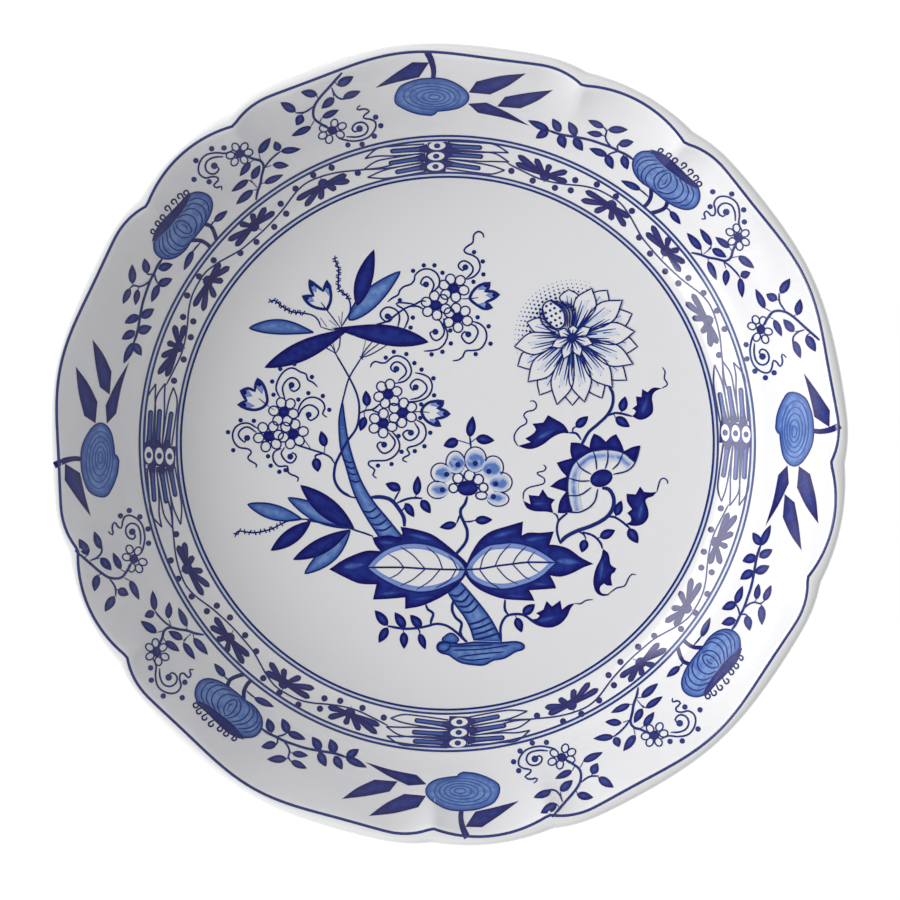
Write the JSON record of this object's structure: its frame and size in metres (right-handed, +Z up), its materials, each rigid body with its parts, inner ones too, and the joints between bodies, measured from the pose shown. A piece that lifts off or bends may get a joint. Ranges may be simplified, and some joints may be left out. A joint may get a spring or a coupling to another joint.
{
  "type": "porcelain serving bowl",
  "caption": "Round lobed porcelain serving bowl with a flat well, a sloping band, a flared wall with a cusped rim, and a turned foot ring to rest on.",
  "frame": {"origin": "middle of the plane that the foot ring stands on", "axes": "+Z up out of the bowl along its turning axis; +X and +Y lie in the table plane, with the first narrow lobe of the rim 11.4 degrees clockwise of +X"},
  "size_m": [0.2484, 0.2491, 0.052],
  "materials": {
    "glazed_porcelain": "clear gloss glaze over white porcelain, with cobalt decoration under it",
    "bare_porcelain": "unglazed, ground smooth"
  },
  "bodies": {
    "root": {"bowl_body": "glazed_porcelain", "foot_ring": "bare_porcelain"}
  },
  "joints": []
}
